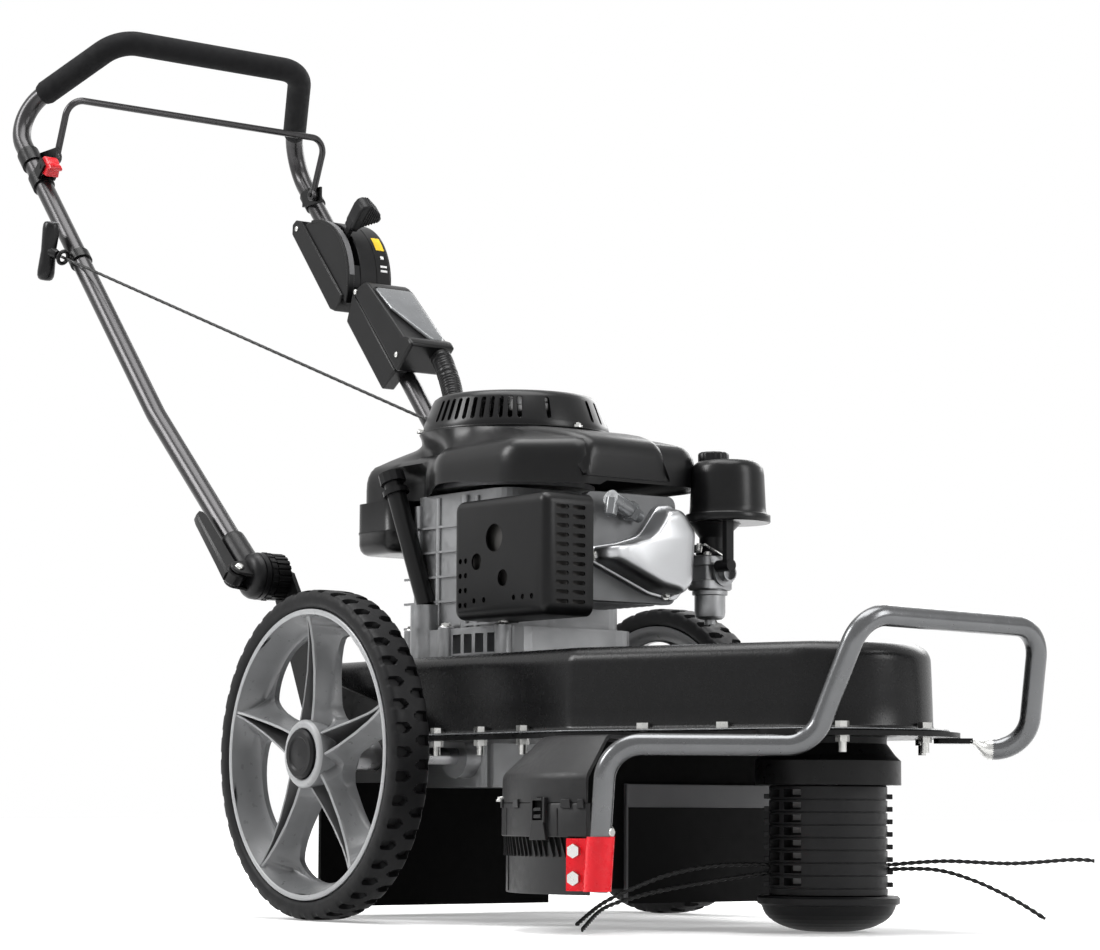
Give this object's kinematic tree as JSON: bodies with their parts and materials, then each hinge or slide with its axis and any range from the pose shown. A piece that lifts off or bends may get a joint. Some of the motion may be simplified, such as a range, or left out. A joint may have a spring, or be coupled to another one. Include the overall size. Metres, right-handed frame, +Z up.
{
  "type": "wheeled string trimmer",
  "caption": "Walk-behind string trimmer: wheeled deck with an engine, belt-driven line head at the nose, side shield, bumper bar and folding handle.",
  "frame": {"origin": "centre of the flat under the dished foot, on the ground below the cutting head", "axes": "+X forwards towards the cutting head, +Y to the left of the person who walks behind, +Z up"},
  "size_m": [1.4865, 0.541, 1.133],
  "materials": {
    "deck_black": "gloss powder coat",
    "plate_black": "satin powder coat",
    "zinc": "zinc plated",
    "steel": "turned",
    "black_plastic": "satin moulded",
    "shell_plastic": "satin gloss moulded",
    "rim_plastic": "satin moulded",
    "tyre": "matte",
    "rubber": "matte",
    "silver_paint": "silver powder coat",
    "red_paint": "gloss powder coat",
    "red_plastic": "gloss moulded",
    "cast_alu": "as cast",
    "bare_alu": "shot blasted",
    "gunmetal": "metallic gloss",
    "foam": "matte foam",
    "iron": "machined",
    "line": "twisted",
    "rope": "braided",
    "boot": "moulded"
  },
  "bodies": {
    "chassis": {"deck_shell": "deck_black", "base_plate": "plate_black", "deck_bolts": "zinc", "frame_brackets": "plate_black", "axle": "steel", "gearbox": "cast_alu", "debris_hood": "black_plastic", "shield_skirt": "black_plastic", "back_panel": "black_plastic", "rear_flap": "rubber", "bumper_bar": "silver_paint", "bumper_bracket": "red_paint", "spindle_housing": "plate_black", "belts": "rubber", "crankcase": "cast_alu", "finned_cylinder": "cast_alu", "valve_cover": "bare_alu", "muffler": "steel", "muffler_guard": "plate_black", "shroud": "shell_plastic", "recoil_cover": "shell_plastic", "fuel_tank": "shell_plastic", "oil_tube": "black_plastic", "carburettor": "cast_alu", "air_filter": "shell_plastic", "spark_plug": "boot", "starter_rope": "rope", "control_conduit": "black_plastic", "clamp_bolts": "zinc"},
    "wheel_right": {"rim_right": "rim_plastic", "tyre_right": "tyre", "hub_cap_right": "black_plastic"},
    "wheel_left": {"rim_left": "rim_plastic", "tyre_left": "tyre", "hub_cap_left": "black_plastic"},
    "spindle": {"spindle_shaft": "steel", "driven_pulley": "steel", "trim_head": "black_plastic", "trim_lines": "line"},
    "foot": {"mow_ball": "black_plastic"},
    "crank": {"crankshaft": "steel", "drive_pulley": "steel", "flywheel": "iron"},
    "gear_input": {"gear_pulley": "steel"},
    "idler": {"idler_arm": "zinc", "idler_pulley": "black_plastic"},
    "handle": {"handle_tube": "gunmetal", "foam_grip": "foam", "knuckles": "black_plastic", "handle_brackets": "plate_black", "console_upper": "black_plastic", "console_lower": "shell_plastic"},
    "cam_right": {"cam_lever_right": "black_plastic"},
    "cam_left": {"cam_lever_left": "black_plastic"},
    "bail": {"bail": "gunmetal"},
    "lock": {"lock_lever": "red_plastic"},
    "shift": {"shift_lever": "black_plastic"},
    "pull": {"starter_grip": "black_plastic"},
    "cap": {"fuel_cap": "black_plastic"},
    "dip": {"dipstick": "black_plastic"}
  },
  "joints": [
    {"name": "wheel_right_turn", "type": "hinge", "parent": "chassis", "child": "wheel_right", "pos_m": [-0.518, -0.269, 0.178], "axis": [0, 1, 0], "continuous": true},
    {"name": "wheel_left_turn", "type": "hinge", "parent": "chassis", "child": "wheel_left", "pos_m": [-0.518, 0.213, 0.178], "axis": [0, 1, 0], "continuous": true},
    {"name": "crank_turn", "type": "hinge", "parent": "chassis", "child": "crank", "pos_m": [-0.493, -0.028, 0.24], "axis": [0, 0, 1], "continuous": true},
    {"name": "spindle_turn", "type": "hinge", "parent": "chassis", "child": "spindle", "pos_m": [0, 0, 0.1], "axis": [0, 0, 1], "continuous": true, "deforming": ["trim_lines"]},
    {"name": "foot_turn", "type": "hinge", "parent": "spindle", "child": "foot", "pos_m": [0, 0, 0.02], "axis": [0, 0, 1], "continuous": true},
    {"name": "gear_input_turn", "type": "hinge", "parent": "chassis", "child": "gear_input", "pos_m": [-0.603, -0.028, 0.22], "axis": [0, 0, 1], "continuous": true},
    {"name": "idler_swing", "type": "hinge", "parent": "chassis", "child": "idler", "pos_m": [-0.18819, -0.12553, 0.258], "axis": [0, 0, 1], "range_deg": [0, 14], "stiffness_Nm_per_rad": 4},
    {"name": "handle_fold", "type": "hinge", "parent": "chassis", "child": "handle", "pos_m": [-0.718, -0.028, 0.385], "axis": [0, 1, 0], "range_deg": [0, 90], "deforming": ["starter_rope", "control_conduit"]},
    {"name": "cam_right_open", "type": "hinge", "parent": "handle", "child": "cam_right", "pos_m": [-0.718, -0.259, 0.385], "axis": [0.6805, 0, 0.7327], "range_deg": [0, 100]},
    {"name": "cam_left_open", "type": "hinge", "parent": "handle", "child": "cam_left", "pos_m": [-0.718, 0.203, 0.385], "axis": [-0.6805, 0, -0.7327], "range_deg": [0, 100]},
    {"name": "bail_pull", "type": "hinge", "parent": "handle", "child": "bail", "pos_m": [-1.239, -0.028, 0.963], "axis": [0, -1, 0], "range_deg": [0, 30], "stiffness_Nm_per_rad": 6},
    {"name": "lock_press", "type": "hinge", "parent": "handle", "child": "lock", "pos_m": [-1.2231, -0.24593, 0.94495], "axis": [0, 1, 0], "range_deg": [-20, 20], "stiffness_Nm_per_rad": 1},
    {"name": "shift_move", "type": "hinge", "parent": "handle", "child": "shift", "pos_m": [-1.17745, 0.16795, 0.86957], "axis": [0, 1, 0], "range_deg": [-5, 35]},
    {"name": "starter_pull", "type": "slide", "parent": "handle", "child": "pull", "axis": [-0.8784, -0.2753, 0.3906], "range_m": [0, 0.45], "stiffness_N_per_m": 60, "deforming": ["starter_rope"]},
    {"name": "fuel_cap_turn", "type": "hinge", "parent": "chassis", "child": "cap", "pos_m": [-0.629, 0.047, 0.53], "axis": [0, 0, 1], "range_deg": [0, 120]},
    {"name": "dipstick_turn", "type": "hinge", "parent": "chassis", "child": "dip", "pos_m": [-0.586, -0.132, 0.488], "axis": [-0.3209, -0.0936, 0.9425], "range_deg": [0, 120]}
  ],
  "couplings": [
    {"joint": "spindle_turn", "follows": "crank_turn", "ratio": 0.69231},
    {"joint": "gear_input_turn", "follows": "crank_turn", "ratio": 0.94737}
  ]
}
